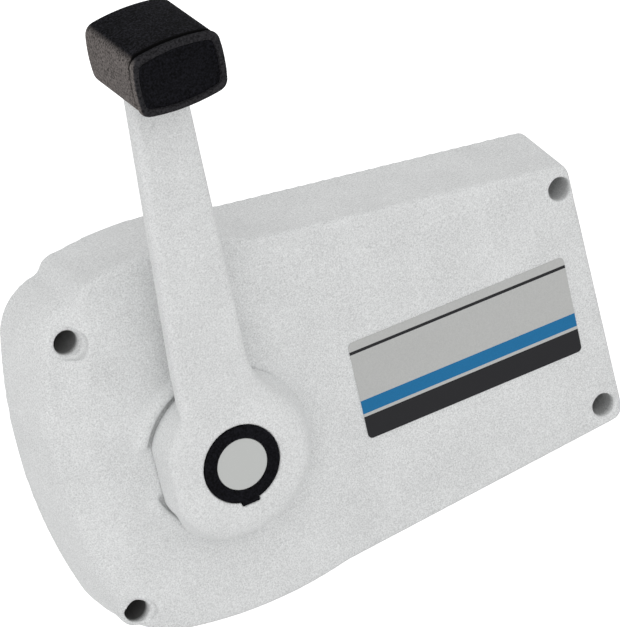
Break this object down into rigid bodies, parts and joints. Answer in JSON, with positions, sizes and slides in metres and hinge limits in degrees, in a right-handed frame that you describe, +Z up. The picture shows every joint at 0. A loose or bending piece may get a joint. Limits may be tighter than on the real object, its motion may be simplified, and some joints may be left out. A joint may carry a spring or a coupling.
{
  "type": "boat throttle control lever",
  "caption": "Side-mounted single-lever engine control for a boat: white housing, leaning lever with black knob, push button in the hub, gears and cable cranks inside",
  "frame": {"origin": "where the lever's shaft axis meets the mounting wall", "axes": "+Y into the wall, +X along the housing to its narrow end, +Z up with the lever upright"},
  "size_m": [0.2691, 0.1072, 0.2946],
  "materials": {
    "white_housing": "moulded, fine grain, white",
    "white_lever": "die-cast, sprayed white, fine grain",
    "black_grip": "fine grain",
    "black_gloss": "semi-gloss",
    "silver_disc": "brushed foil",
    "label_film": "satin film, printed",
    "zinc_steel": "zinc plated",
    "stainless": "plain stainless",
    "shaft_steel": "ground",
    "acetal": "natural acetal",
    "black_nylon": "moulded nylon",
    "sintered": "sintered, oiled",
    "bronze": "sintered bronze",
    "pad": "pressed fibre",
    "switch_red": "moulded"
  },
  "bodies": {
    "base": {"housing_shell": "white_housing", "back_plate": "zinc_steel", "plate_screws": "stainless", "front_bush": "acetal", "rear_bush": "bronze", "bush_rivets": "zinc_steel", "throttle_stud": "zinc_steel", "stud_clip": "stainless", "detent_block": "black_nylon", "detent_spring": "stainless", "detent_screws": "stainless", "friction_bracket": "zinc_steel", "friction_screw": "stainless", "friction_pad": "pad", "neutral_switch": "switch_red", "switch_bracket": "zinc_steel", "switch_screws": "stainless", "cable_anchor": "black_nylon", "cable_clamp": "black_nylon", "clamp_screws": "stainless", "trim_label": "label_film"},
    "lever": {"lever_arm": "white_lever", "knob_body": "black_grip", "knob_panel": "black_gloss", "knob_screw": "stainless", "main_shaft": "shaft_steel", "shaft_key": "shaft_steel", "lever_screw": "stainless", "lever_washer": "stainless", "shift_crank": "zinc_steel", "shift_cable_pin": "stainless", "drive_gear": "sintered", "detent_disc": "sintered", "thrust_washer": "acetal", "button_spring": "stainless"},
    "button": {"button_cap": "black_gloss", "button_disc": "silver_disc"},
    "plunger": {"detent_plunger": "stainless"},
    "throttle": {"throttle_gear": "sintered", "throttle_cable_pin": "stainless"}
  },
  "joints": [
    {"name": "lever_turn", "type": "hinge", "parent": "base", "child": "lever", "pos_m": [0, 0, 0], "axis": [0, 1, 0], "range_deg": [-80, 80]},
    {"name": "button_push", "type": "slide", "parent": "lever", "child": "button", "axis": [0, 1, 0], "range_m": [0, 0.004], "stiffness_N_per_m": 1500, "springref_m": -0.002, "deforming": ["button_spring"]},
    {"name": "detent_lift", "type": "slide", "parent": "base", "child": "plunger", "axis": [-1, 0, 0], "range_m": [0, 0.0012], "stiffness_N_per_m": 2000, "springref_m": -0.002, "deforming": ["detent_spring"]},
    {"name": "throttle_turn", "type": "hinge", "parent": "base", "child": "throttle", "pos_m": [0.05275, 0, 0], "axis": [0, 1, 0], "range_deg": [-53.4, 53.4]}
  ],
  "couplings": [
    {"joint": "throttle_turn", "follows": "lever_turn", "ratio": -0.66667}
  ]
}
